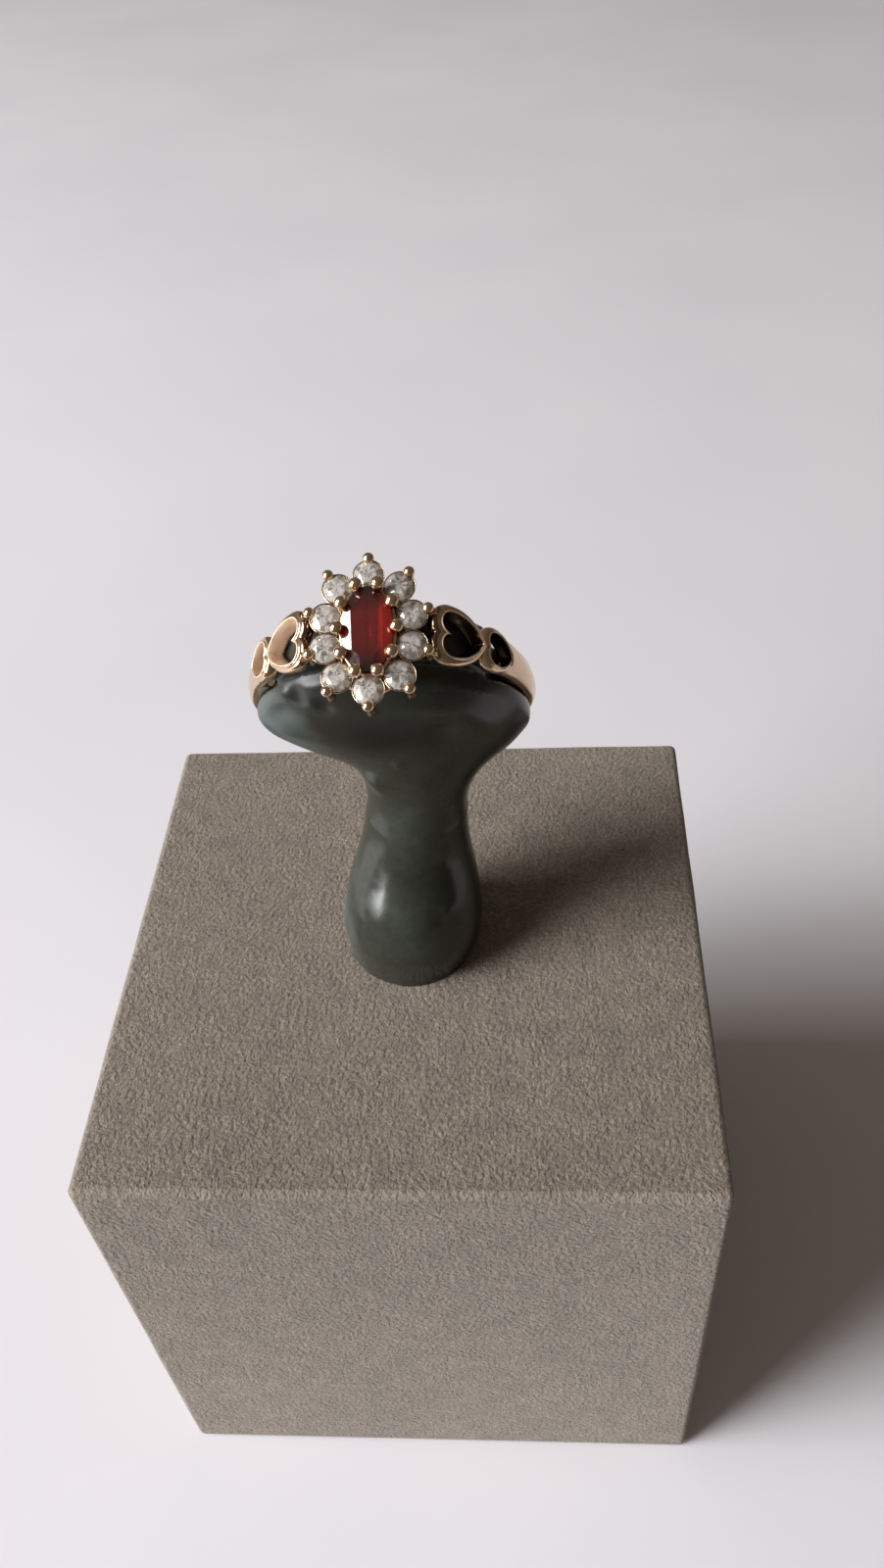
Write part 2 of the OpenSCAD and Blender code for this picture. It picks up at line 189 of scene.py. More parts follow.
wrap = bmesh.new()
sides = [stops_across(block_low[k], block_high[k]) for k in range(3)]
for out_of in range(3):
    across, up = (out_of + 1) % 3, (out_of + 2) % 3
    for face in (block_low[out_of], block_high[out_of]):
        rows = []
        for u in sides[across]:
            row = []
            for v in sides[up]:
                spot = Vector((0, 0, 0))
                spot[out_of], spot[across], spot[up] = face, u, v
                core = Vector(min(max(spot[k], block_low[k] + edge_round), block_high[k] - edge_round)
                              for k in range(3))
                out = (spot - core).normalized()
                underneath = out.z <= -0.5
                sink = 0 if underneath else cloth_sink * (1 + noise.noise(spot * lumps_a_metre))
                row.append(wrap.verts.new(core + out * (edge_round - sink)))
            rows.append(row)
        lay_grid(wrap, rows)
bmesh.ops.remove_doubles(wrap, verts=wrap.verts, dist=0.02 * mm)
block = show("suede_block", wrap, suede, ["display_block"])
# The cloth is paler where it turns over an edge: rubbed wear, and painted sheen where the nap catches the
# light
edge_wear_and_sheen = []
for vertex in block.data.vertices:
    on_an_edge = sum(abs(part) > 0.12 for part in vertex.normal) > 1
    edge_wear_and_sheen.append(0.22 + 0.2 * noise.noise(vertex.co * 900) if on_an_edge else 0.0)
paint(block, "worn_edge_and_sheen", edge_wear_and_sheen)

# The post: dark putty rolled by hand into a foot, a neck and a tilted cap that holds the ring.
# It set hard and glossy, with the small lumps and dents that fingers leave, and stands on the block.
foot = Vector((0, 0, round(block_high[2] / mm, 3)))
lean_right, lean_back = 5.4, 8
up_post = (Matrix.Rotation(math.radians(lean_right), 3, "Y")
           @ Matrix.Rotation(math.radians(-lean_back), 3, "X"))
# The ring's own place: x to its right, y along the finger to the back, z up to the cluster
ring_place = (Matrix.Translation((0.2, 3.55, 68.7)) @ Matrix.Rotation(math.radians(32.3), 4, "X")
              @ Matrix.Rotation(math.radians(0.8), 4, "Z") @ Matrix.Rotation(math.radians(-0.7), 4, "Y"))
to_ring = ring_place.inverted()
facing = ring_place.to_3x3() @ Matrix.Rotation(math.radians(-90), 3, "X")
foot_radius = 5.35
foot_edge = 0.5
foot_height = 2.5
neck_radius = 3.725
draw_in_height = 10.8
# Between these heights the post sways forward and back by this much
sway_low, sway_high = 1.2, 13.2
sway = 0.32
stem_heights = [-0.8] + [0.45 * k for k in range(45)]
# The neck runs out into the front of the cap: from that far up the post, to that spot of the ring's
neck_end = 15.0
neck_meets_cap = Vector((1.95, -4.2, -1.0))
neck_slices = 13
# The neck's radius where it starts, how much it grows evenly, and how much more near the cap
neck_start, neck_growth, neck_flare = 3.72, 0.5, 0.9
cap_edge = -1.17
cap_slices = [
    # distance along the finger, radius, how far to the right
    (cap_edge, 9.15, 0.05), (-1.3, 9.28, 0.05), (-1.6, 9.27, 0.07), (-2.0, 9.2, 0.1), (-2.3, 8.98, 0.2),
    (-2.6, 8.65, 0.33), (-3.0, 8.1, 0.65), (-3.4, 7.45, 1.0), (-3.8, 6.7, 1.25), (-4.1, 6.1, 1.4),
    (-4.4, 5.4, 1.55), (-4.57, 4.6, 1.6),
]
# The part of the cap that fills the ring: distance along the finger and radius
plug_slices = [(cap_edge + 0.06, 8.5), (0, 8.48), (1.2, 8.48), (1.45, 8.25)]
# The putty swells up under the shoulders. Each shoulder's arc has its middle this far past the
# middle of the finger hole, and the swell's roof follows that arc at a smaller radius
arc_shift = 5.15
swell_radius = 13.75
swell_half = 6.7
swell_low, swell_top = 5.0, 9.85
swell_cells = 24
rub_passes = 120
rubbed_before = -2.3
rubbed_above = 59.5
# Where a finger pressed the putty: the place, how wide the mark is and how far it stands out
finger_marks = [
    ((-1.3, -1.1, 64.4), 1.5, 0.46), ((3.9, -2.7, 70.2), 1.6, -0.3),
    ((3.2, -3.2, 53.4), 0.7, 0.1), ((0.8, -1.9, 67.0), 0.6, 0.14),
    ((-5.3, -2.4, 73.5), 0.9, -0.3), ((-4.3, -2.6, 72.9), 0.7, 0.2), ((-3.4, -2.7, 72.7), 0.8, -0.16),
    ((-6.6, -1.6, 71.2), 1.1, -0.22), ((-5.4, -2.5, 70.2), 0.8, 0.12), ((-7.0, -1.0, 69.2), 2.2, 0.5),
]
# The marks fade out against the ring: within this of its middle, over this depth
ring_reach = 11
fade_depth = 0.6
# The painted parts of the cap, in the ring's place: its front starts at that y and its left end, which is
# painted light, at that x, and the painted shadow under the cluster lies round the place and reaches as far
# as the next two say
cap_front = -0.7
left_end = -3.9
shadow_place = (-0.6, 3.8)
shadow_reach = (4.8, 3.6)


def share(value, least=0.0):
    """A value kept from least to 1."""
    return min(1.0, max(least, value))


def stem_radius(h):
    """The round foot that draws in to the neck."""
    if h < foot_height:
        return foot_radius - foot_edge * (1 - math.sin(math.radians(90 * h / foot_height)))
    way_up = share((h - foot_height) / draw_in_height)
    return neck_radius + (foot_radius - neck_radius) / 2 * (1 + math.cos(math.pi * way_up))


def stem_middle(h):
    """The middle line of the post, which sways a little forward over the foot and then back."""
    forward = 0.0
    if sway_low < h < sway_high:
        forward = sway * math.sin(2 * math.pi * (h - sway_low) / (sway_high - sway_low))
    return foot + up_post @ Vector((0, -forward, h))


def hoop(centre, turn, radius, count=64):
    """A flat circle of points round a centre, turned out of the level."""
    return [centre + turn @ Vector((radius * math.cos(a), radius * math.sin(a), 0))
            for a in (2 * math.pi * k / count for k in range(count))]


def cap_hoop(along, radius, to_right=0):
    """A circle of the cap, which faces along the finger."""
    return hoop(ring_place @ Vector((to_right, along, 0)), facing, radius, 128)


def close_shell(mesh, hoops):
    """A closed solid skinned over hoops of points, with flat ends."""
    rows = [[mesh.verts.new(p) for p in points] for points in hoops]
    lay_grid(mesh, rows, round_again=True)
    for end in (rows[0], rows[-1]):
        mesh.faces.new(end)


def softened(mesh, voxel, passes):
    """Melts the solids of a mesh into one skin of that voxel size, and smooths it. In millimetres."""
    bmesh.ops.recalc_face_normals(mesh, faces=mesh.faces)
    data = bpy.data.meshes.new("rough")
    mesh.to_mesh(data)
    mesh.free()
    rough = bpy.data.objects.new("rough", data)
    bpy.context.scene.collection.objects.link(rough)
    melt = rough.modifiers.new("melt", "REMESH")
    melt.mode = "VOXEL"
    melt.voxel_size = voxel
    polish = rough.modifiers.new("polish", "SMOOTH")
    polish.factor = 0.5
    polish.iterations = passes
    result = bmesh.new()
    result.from_mesh(rough.evaluated_get(bpy.context.evaluated_depsgraph_get()).to_mesh())
    bpy.data.objects.remove(rough)
    return result


def pushed_out(spot):
    """How far the putty stands out at a spot, from its own unevenness and from fingers."""
    push = 0.05 * noise.noise(spot * 0.3) + 0.006 * noise.noise(spot * 0.9)
    for place, reach, height in finger_marks:
        away = (spot - Vector(place)).length / reach
        if away < 2:
            push += height * math.exp(-2 * away * away)
    return push


def putty_light_and_shade(local):
    """How the putty is painted at a spot in the ring's place: 0 painted shade, darker and rougher, 0.5
    plain,
    1 painted light, paler and duller. The cap's left end, facing the windows, has painted light, and its
    upper middle under the cluster, the putty under the hearts and its top edge have painted shade."""
    on_front = share((cap_front - local.y) * 4)
    lit_share = on_front * share((left_end - local.x) / 2.5 + 0.35 * noise.noise(local * 0.7))
    lit_share *= share((7.4 - local.z) / 3, 0.15)
    if local.y < cap_front:
        aside, above = (local.x - shadow_place[0]) / shadow_reach[0], (local.z - shadow_place[1]) / shadow_reach[1]
        shadow_share = math.exp(-aside ** 2 - above ** 2)
    else:
        shadow_share = 0.5 if local.z > 4 else 0.0
    top_edge = min(0.7 if local.x < 0 else 0.3, (local.z - 5.8) / 1.5)
    shadow_share = max(shadow_share * share(local.y + 5.6), top_edge)
    return 0.5 + 0.5 * lit_share - 0.5 * shadow_share * (1 - lit_share)


def maths(tree, how, first, second=0.0):
    """Works one value out from one or two others; how is the kind of sum."""
    return put(tree, "ShaderNodeMath", {0: first, 1: second}, operation=how).outputs["Value"]


putty, tree, shader = new_finish("dark_putty", Roughness=0.15, IOR=1.5)
tint = shades(tree, grain(tree, 5.0, 3.0), [
    (0.3, (0.021, 0.022, 0.016)), (0.55, (0.03, 0.034, 0.026)), (0.75, (0.045, 0.055, 0.047))])
haze = shades(tree, grain(tree, 0.7, 4.0, 0.7), [(0.3, grey(0.4)), (0.7, grey(0.62))])
cap_lighting = painted(tree, "painted_light_and_shade")
# Painted shade darkens the putty where the amount is low, and painted light makes it paler where it is high
shade_tint = shades(tree, cap_lighting, [(0.0, (0.06, 0.05, 0.035)), (0.5, grey(1)), (1.0, grey(1))])
tint = blended(tree, "MULTIPLY", 1.0, tint, shade_tint)
lit_amount = shades(tree, cap_lighting, [(0.5, grey(0)), (1.0, grey(1))])
tint = blended(tree, "MIX", lit_amount, tint, (0.075, 0.095, 0.088, 1))
tree.links.new(blended(tree, "OVERLAY", 0.7, tint, haze), shader.inputs["Base Color"])
smooth_skin = spread(tree, grain(tree, 1.4, 4.0, 0.65), 0.16, 0.24)
rougher = shades(tree, cap_lighting, [(0.0, grey(0.3)), (0.5, grey(0)), (1.0, grey(0.4))])
tree.links.new(maths(tree, "ADD", smooth_skin, rougher), shader.inputs["Roughness"])
bumpy(tree, shader, grain(tree, 1.1, 3.0, 0.5), 0.03, 0.25)

putty_mesh = bmesh.new()
close_shell(putty_mesh, [hoop(stem_middle(h), up_post, stem_radius(max(0.0, h))) for h in stem_heights])
neck_top = foot + up_post @ Vector((0, 0, neck_end))
neck = []
for k in range(neck_slices):
    way = k / (neck_slices - 1)
    centre = neck_top.lerp(ring_place @ neck_meets_cap, way)
    turn = up_post.to_quaternion().slerp(facing.to_quaternion(), way).to_matrix()
    neck.append(hoop(centre, turn, neck_start + neck_growth * way + neck_flare * way ** 3))
close_shell(putty_mesh, neck)
close_shell(putty_mesh, [cap_hoop(*a_slice) for a_slice in cap_slices[::-1] + plug_slices])
swell = []
for k in range(swell_cells + 1):
    x = swell_half * (2 * k / swell_cells - 1)
    roof = min(swell_top, math.sqrt(swell_radius ** 2 - (abs(x) + arc_shift) ** 2))
    # Each corner of the slice: distance along the finger, and height
    outline = ((-1.12, swell_low), (-1.15, roof - 0.3), (-1.0, roof),
               (1.7, roof), (1.95, roof - 0.3), (1.95, swell_low))
    swell.append([ring_place @ Vector((x, y, z)) for y, z in outline])
close_shell(putty_mesh, swell)
putty_mesh = softened(putty_mesh, voxel=0.2, passes=4)
# Fingers smoothed the putty where the neck runs out into the front of the cap
rubbed = [v for v in putty_mesh.verts if (to_ring @ v.co).y < rubbed_before and v.co.z > rubbed_above]
for _ in range(rub_passes):
    bmesh.ops.smooth_vert(putty_mesh, verts=rubbed, factor=0.7, use_axis_x=True, use_axis_y=True,
                          use_axis_z=True)
for vertex in putty_mesh.verts:
    spot = vertex.co.copy()
    local = to_ring @ spot
    free = share((cap_edge - 0.1 - local.y) / fade_depth) if local.length < ring_reach else 1.0
    vertex.co += vertex.normal * pushed_out(spot) * free
    vertex.co.z = max(vertex.co.z, foot.z)
bmesh.ops.scale(putty_mesh, vec=(mm, mm, mm), verts=putty_mesh.verts)
post = show("putty_post", putty_mesh, putty, ["display_post"])
paint(post, "painted_light_and_shade", [putty_light_and_shade(to_ring @ (vertex.co / mm)) for vertex in post.data.vertices])

# The band of the ring: a narrow D-shaped hoop of yellow gold, flat inside and rounded outside.
# It was cast, filed and polished. Its ends fork round the two small hearts.
finger_radius = 8.6
band_half = 1.05
band_thick = 1.15
arc_radius = 14.9
small_heart_at = 61.0
under_rims = 0.1
# How much the outside is rounded, then how much wider and flatter the band gets towards the hearts
crown_height = 0.36
wider, flatter = 0.06, 0.14
band_end = 54.5
band_slices = 126
# The fork beside each small heart: how far down the shoulder, and its inner and outer edge
fork = [(-0.3, 1.1, 1.2), (0.2, 1.05, 1.24), (0.6, 0.85, 1.22), (1.1, 0.45, 1.18), (1.6, 0.1, 1.14),
        (2.3, 0.0, 1.1)]


def to_metres(mesh):
    """Moves a mesh from the ring's own place, in millimetres, to where it sits on the post."""
    mesh.transform(Matrix.Scale(mm, 4) @ ring_place)
    return mesh


def on_shoulder(angle, x, y, depth):
    """A point drawn on a shoulder's arc: x down the shoulder, y across it, and depth under it."""
    sin, cos = math.sin(math.radians(angle)), math.cos(math.radians(angle))
    rise = math.sqrt(arc_radius ** 2 - x * x) - depth
    return Vector((-arc_shift + x * cos + rise * sin, y, rise * cos - x * sin))


def outside_radius(angle):
    """How far the metal's outside lies from the middle of the finger hole, round from the top."""
    if angle > math.pi / 2:
        return finger_radius + band_thick
    reach = arc_shift * math.sin(angle)
    return math.sqrt(reach * reach + arc_radius ** 2 - arc_shift ** 2) - reach


def band_slice(angle):
    """One slice of the band at an angle from the top, as a closed ring of points."""
    near_hearts = share((math.radians(95) - angle) / math.radians(35))
    half, crown = band_half + wider * near_hearts, crown_height - flatter * near_hearts
    top, low = outside_radius(angle) - under_rims * near_hearts, finger_radius
    flank = [(half - 0.02, top - crown - 0.08), (half, (top + low) / 2), (half, low + 0.15),
             (half - 0.12, low + 0.02), (0.4, low)]
    outline = [(half * s / 8, top - crown * (s / 8) ** 2) for s in range(-7, 8)]
    outline += flank + [(-y, r) for y, r in reversed(flank)]
    return [Vector((r * math.sin(angle), y, r * math.cos(angle))) for y, r in outline]


gold, tree, shader = new_finish("yellow_gold", Metallic=1.0)
alloy = shades(tree, grain(tree, 4.0), [(0.3, (0.76, 0.57, 0.37)), (0.7, (0.8, 0.6, 0.43))])
smudges = shades(tree, grain(tree, 0.5, 4.0, 0.7), [(0.3, (0.44, 0.42, 0.4)), (0.6, grey(0.53))])
# Darker in creases, by the pointiness, partly grime and partly painted shade, and painted shade where the
# ambient occlusion finds recesses
crease = put(tree, "ShaderNodeNewGeometry").outputs["Pointiness"]
crease_grime_and_shade = shades(tree, crease, [(0.42, (0.34, 0.25, 0.17)), (0.5, grey(1))])
hidden = put(tree, "ShaderNodeAmbientOcclusion", {"Distance": 0.6 * mm}, samples=6).outputs["AO"]
shadow = shades(tree, hidden, [(0.25, (0.3, 0.2, 0.13)), (0.8, grey(1))])
metal = blended(tree, "MULTIPLY", 0.85, blended(tree, "OVERLAY", 0.6, alloy, smudges), crease_grime_and_shade)
metal = blended(tree, "MULTIPLY", 0.8, metal, shadow)
# Painted shade darkens the heart openings and the frames beside the cluster; painted light, pale, rough and
# less metallic, lies on the lips and in the left openings
metal = blended(tree, "MIX", painted(tree, "painted_shade"), metal, (0.1, 0.068, 0.048, 1))
painted_light = painted(tree, "painted_light")
metal = blended(tree, "MIX", painted_light, metal, (0.9, 0.66, 0.5, 1))
tree.links.new(metal, shader.inputs["Base Color"])
tree.links.new(maths(tree, "SUBTRACT", 1.0, painted_light), shader.inputs["Metallic"])
satin = spread(tree, grain(tree, 0.8, 3.0, 0.6), 0.1, 0.24)
tree.links.new(maths(tree, "MAXIMUM", satin, painted_light), shader.inputs["Roughness"])
bumpy(tree, shader, grain(tree, 0.5, 2.0, 0.5), 0.012, 0.2)

band = bmesh.new()
slices = []
for k in range(band_slices):
    angle = math.radians(band_end + (360 - 2 * band_end) * k / (band_slices - 1))
    if angle <= math.pi:
        slices.append(band_slice(angle))
    else:
        slices.append([Vector((-p.x, p.y, p.z)) for p in band_slice(2 * math.pi - angle)])
close_shell(band, slices)
for right in (-1, 1):
    for side in (-1, 1):
        prong = []
        for x, inner, outer in fork:
            section = ((inner, 0.16), ((inner + outer) / 2, 0.2), (outer - 0.1, 0.26), (outer, 0.42),
                       (outer, 0.75), (outer - 0.12, 1.0), (inner, 1.0))
            spots = [on_shoulder(small_heart_at, x, side * y, depth) for y, depth in section]
            prong.append([Vector((right * p.x, p.y, p.z)) for p in spots])
        close_shell(band, prong)
band = softened(band, voxel=0.075, passes=5)
show("gold_band", to_metres(band), gold, ["gold_ring"])

# The shoulders: on each side a large and a small open heart, cast as thick rounded frames of gold
# with a crisp raised line round the opening, and soldered tip to lobes above the band.
large_heart_at = 46.5
hearts = [
    # angle from the top, share of the frame's width, how much its opening draws in below, then the
    # opening: the lobes' place, the tip's, half its width, the radius of the lobes and of the sides
    (large_heart_at, 1.0, 1.0, -0.97, 1.72, 1.42, 0.712, 3.2),
    (small_heart_at, 0.8, 0.25, -0.88, 1.1, 1.03, 0.64, 2.0),
]
# The frame's section: how far outside the opening, and how deep under the top, each point lies.
# The openings draw in below, as the casting left them
heart_rim = [
    (-0.3, 1.0), (-0.26, 0.88), (-0.13, 0.5), (-0.02, 0.14), (0.015, 0.01), (0.05, -0.03),
    (0.09, -0.01), (0.115, 0.06), (0.16, 0.085), (0.25, 0.08), (0.34, 0.1), (0.42, 0.16),
    (0.48, 0.27), (0.5, 0.42), (0.46, 0.62), (0.36, 0.85), (0.24, 1.0),
]
# How far outside the opening the frame's lines stay even, and how far its lips reach
even_to = 0.12
lips_to = 0.1
# Where round a heart its tip and its notch lie, in radians
tip_turn, notch_turn = 0.5, 4.2
lobe_steps = 30
side_steps = 20
# Higher up the large hearts than this, beside the cluster, the frames are painted shade
under_cluster = -1.75


def frame_width(grow, angle):
    """The frame is wider round the lobes and narrower at the tip; its inner line is even."""
    if grow < even_to:
        return grow
    return grow * (1 - 0.25 * math.cos(angle))


def heart_line(lobe_x, tip_x, half, lobe_radius, side_radius, grow):
    """The outline of a heart, drawn grow outside its opening, from the notch round and back."""
    lobe_y = half - lobe_radius
    reach, spare = math.hypot(tip_x - lobe_x, lobe_y), side_radius - lobe_radius
    bend = math.acos((side_radius ** 2 - spare ** 2 - reach ** 2) / (2 * spare * reach))
    side = bend - math.atan2(lobe_y, tip_x - lobe_x)
    middle = (lobe_x - spare * math.cos(side), lobe_y - spare * math.sin(side))
    side_end = math.asin(-middle[1] / (side_radius + frame_width(grow, tip_turn)))
    notch = math.pi + math.asin(min(1.0, lobe_y / (lobe_radius + frame_width(grow, notch_turn))))
    line = []
    for k in range(lobe_steps + 1):
        a = notch + (side - notch) * k / lobe_steps
        r = lobe_radius + frame_width(grow, a)
        line.append((lobe_x + r * math.cos(a), lobe_y + r * math.sin(a)))
    for k in range(1, side_steps + 1):
        a = side + (side_end - side) * k / side_steps
        r = side_radius + frame_width(grow, a)
        line.append((middle[0] + r * math.cos(a), middle[1] + r * math.sin(a)))
    line[0], line[-1] = (line[0][0], 0.0), (line[-1][0], 0.0)
    return line + [(x, -y) for x, y in reversed(line[1:-1])]


def heart_light_and_shade(right, grow, deep):
    """How much painted shade and how much painted light a frame has at a point of its section: painted
    shade in the right openings and, growing with depth, in the left ones; painted light on the lips and,
    fading with depth, in the left openings."""
    if grow > 0:
        return 0.0, 0.55 if grow < lips_to else 0.0
    if right > 0:
        return 0.9, 0.0
    return 0.45 * deep, 0.62 - 0.35 * deep


for right, name in ((1, "right_hearts"), (-1, "left_hearts")):
    frames = bmesh.new()
    shade_amounts, light_amounts = [], []
    for angle, width_share, draw_in, *opening in hearts:
        rows = []
        for grow, deep in heart_rim:
            line = heart_line(*opening, grow * (width_share if grow > 0 else draw_in))
            spots = [on_shoulder(angle, x, y, deep) for x, y in line]
            rows.append([frames.verts.new((right * p.x, p.y, p.z)) for p in spots])
            # The first share is painted shade, the second painted light
            rough, lit_share = heart_light_and_shade(right, grow, deep)
            for x, y in line:
                in_cluster_shade = angle == large_heart_at and x < under_cluster and deep > 0.09
                shade_amounts.append(max(rough, 0.8 if in_cluster_shade else 0.0))
                patches = noise.noise(Vector((x * 1.3, y * 1.3, deep * 2.5)))
                light_amounts.append(lit_share * (1 + 0.7 * patches))
        lay_grid(frames, rows, round_again=True, back_to_start=True)
    piece = show(name, to_metres(frames), gold, ["gold_ring"])
    paint(piece, "painted_shade", shade_amounts)
    paint(piece, "painted_light", light_amounts)

# The gallery: an oval rail of gold wire that ties the cluster's cups and claws together, an oval seat
# for the ruby inside it, and a low and a high short bar out to each lobe of the large hearts.
rail_height = 10.45
rail_half = (2.35, 3.3)
rail_thick, rail_tall = 0.27, 0.34
stone_height = 11.9
ruby_height = stone_height + 0.55
ruby_half = (1.55, 2.65)
# The seat's section: how far outside the ruby, and how deep under its widest edge, each point lies
seat_section = [(-0.27, 0.52), (-0.21, 0.45), (-0.05, 0.24), (0.13, 0.2), (0.19, 0.3), (0.2, 0.6),
                (0.16, 0.84), (-0.24, 0.86)]
bars = [
    # both ends of the bar, its radius, and how much wider it is at the ends
    ((2.25, 1.05, rail_height), (3.5, 1.1, 10.95), 0.24, 0.08),
    ((3.45, 1.22, 11.4), (4.1, 1.25, 11.42), 0.26, 0.1),
]


def bent_wire(mesh, middle, thick, tall, count=14):
    """A closed wire of oval section that follows a level loop of points."""
    rows, n = [], len(middle)
    for i, p in enumerate(middle):
        out = (middle[(i + 1) % n] - middle[i - 1]).cross(Vector((0, 0, 1))).normalized()
        rows.append([mesh.verts.new(p + out * thick * math.cos(a) + Vector((0, 0, tall * math.sin(a))))
                     for a in (2 * math.pi * k / count for k in range(count))])
    lay_grid(mesh, rows, round_again=True, back_to_start=True)


def oval(half_x, half_y, z, count=96):
    """Points round an oval at one height."""
    return [Vector((half_x * math.cos(a), half_y * math.sin(a), z))
            for a in (2 * math.pi * k / count for k in range(count))]


def bar(mesh, start, end, thick, flare):
    """A short round bar that swells at both ends, where it is soldered."""
    along = (end - start).normalized()
    turn = along.to_track_quat("Z", "Y").to_matrix()
    close_shell(mesh, [hoop(start.lerp(end, t), turn, thick + flare * (2 * t - 1) ** 4, 20)
                       for t in (k / 10 for k in range(11))])


gallery = bmesh.new()
bent_wire(gallery, oval(*rail_half, rail_height), rail_thick, rail_tall)
seat = []
for grow, depth in seat_section:
    loop = oval(ruby_half[0] + grow, ruby_half[1] + grow, ruby_height - depth)
    seat.append([gallery.verts.new(p) for p in loop])
lay_grid(gallery, seat, round_again=True, back_to_start=True)
for x in (-1, 1):
    for y in (-1, 1):
        quarter = Vector((x, y, 1))
        for start, end, thick, flare in bars:
            bar(gallery, quarter * Vector(start), quarter * Vector(end), thick, flare)
show("gold_gallery", to_metres(gallery), gold, ["gold_ring"])

# The cups: ten small cones of thin gold sheet, one under each small stone, open below.
# Each has a bright burnished rim just outside its stone, and is soldered to the gallery rail.
stone_spots = [(0, 3.6), (1.87, 2.78), (2.6, 0.95), (2.6, -0.95), (1.87, -2.78), (0, -3.6),
               (-1.87, -2.78), (-2.6, -0.95), (-2.6, 0.95), (-1.87, 2.78)]
cup_profile = [(0.5, -1.3), (0.6, -1.24), (0.72, -0.9), (0.86, -0.45), (0.95, -0.14), (0.985, -0.03),
               (0.985, 0.02), (0.96, 0.05), (0.935, 0.03), (0.925, -0.04), (0.62, -0.32), (0.4, -0.54),
               (0.34, -0.7), (0.36, -1.24)]


def turned_part(mesh, profile, place, count=40):
    """A part turned on a lathe: the profile pairs radii with heights above its place."""
    rows = []
    for radius, z in profile:
        rows.append([mesh.verts.new(place + Vector((radius * math.cos(a), radius * math.sin(a), z)))
                     for a in (2 * math.pi * k / count for k in range(count))])
    lay_grid(mesh, rows, round_again=True, back_to_start=True)


cups = bmesh.new()
for x, y in stone_spots:
    turned_part(cups, cup_profile, Vector((x, y, stone_height)))
show("gold_cups", to_metres(cups), gold, ["gold_ring"])

# The claws: ten round wires in an oval that hold the ruby and the insides of the small stones,
# and one outside each small stone. Each wire's end was rounded into a polished bead over its stone.
inner_oval = (1.8, 2.9)
inner_angles = [side + a for side in (0, 180) for a in (-68.5, -32.5, 0, 32.5, 68.5)]
inner_heights = (10.4, stone_height + 0.95)
outer_reach = 1.04
# An outer claw's foot stands a little nearer the middle than its bead, by this share
outer_foot = 0.985
outer_heights = (10.6, stone_height + 0.12)
# A claw's wire radius, its bead's radius, and how high the bead is for its width
inner_claw = (0.19, 0.41, 0.85)
outer_claw = (0.24, 0.355, 0.92)
bead_rows = 14


def claw(mesh, base, head, wire, bead, squash):
    """A wire from base up to a bead whose middle is at head; the bead is squashed a little."""
    points = [(0.0, wire * 1.25), (0.15, wire), (0.75, wire), (0.95, wire * 1.1)]
    level = Matrix.Identity(3)
    close_shell(mesh, [hoop(base.lerp(head, t), level, r, 20) for t, r in points])
    rows = []
    for k in range(bead_rows + 1):
        a = math.radians(-88 + 176 * k / bead_rows)
        rows.append(hoop(head + Vector((0, 0, bead * squash * math.sin(a))), level, bead * math.cos(a), 28))
    close_shell(mesh, rows)


claws = bmesh.new()
for angle in inner_angles:
    a = math.radians(angle)
    spot = Vector((inner_oval[0] * math.cos(a), inner_oval[1] * math.sin(a), 0))
    base, head = [spot + Vector((0, 0, height)) for height in inner_heights]
    claw(claws, base, head, *inner_claw)
for x, y in stone_spots:
    spot = Vector((x, y, 0)) + Vector((x, y, 0)).normalized() * outer_reach
    base = spot * outer_foot + Vector((0, 0, outer_heights[0]))
    head = spot + Vector((0, 0, outer_heights[1]))
    claw(claws, base, head, *outer_claw)
show("gold_claws", to_metres(claws), gold, ["gold_ring"])

# The ruby: an oval of deep red corundum cut in long steps, with a wide flat table. It lies in the
# gallery's seat under the beads of the ten inner claws.
ruby_table = 0.28
ruby_bottom = -1.5
# How steep the crown's facets are beside the table, and at its two ends, and how far above the
# widest line they start
crown_slope, end_slope = 20.5, 15
edge_height = 0.05
# The facets under the widest edge: how steep each step is, how deep it starts, and how far in
ruby_steps = [(62, 0.03, 0.0), (47, 0.4, 0.324), (33, 0.78, 0.4988)]
ruby_facets = (0, 60, 90, 120, 184, 240, 270, 300)


def across_ruby(tree, place, half):
    """Turns a place from one side of the ruby to the other into a value from 0 to 1."""
    return put(tree, "ShaderNodeMapRange", {
        "Value": place, "From Min": -half * mm, "From Max": half * mm}).outputs["Result"]


red, tree, shader = new_finish("ruby_red", Roughness=0.18, IOR=1.6, Transmission_Weight=0.7,
                               Coat_Weight=1.0, Coat_Roughness=0.02, Coat_IOR=1.77)
here = put(tree, "ShaderNodeTexCoord").outputs["Object"]
lying = put(tree, "ShaderNodeMapping", {"Vector": here}, vector_type="TEXTURE")
lying.inputs["Location"].default_value = ring_place.translation * mm
lying.inputs["Rotation"].default_value = ring_place.to_euler()
ruby_axes = put(tree, "ShaderNodeSeparateXYZ", {"Vector": lying.outputs["Vector"]}).outputs
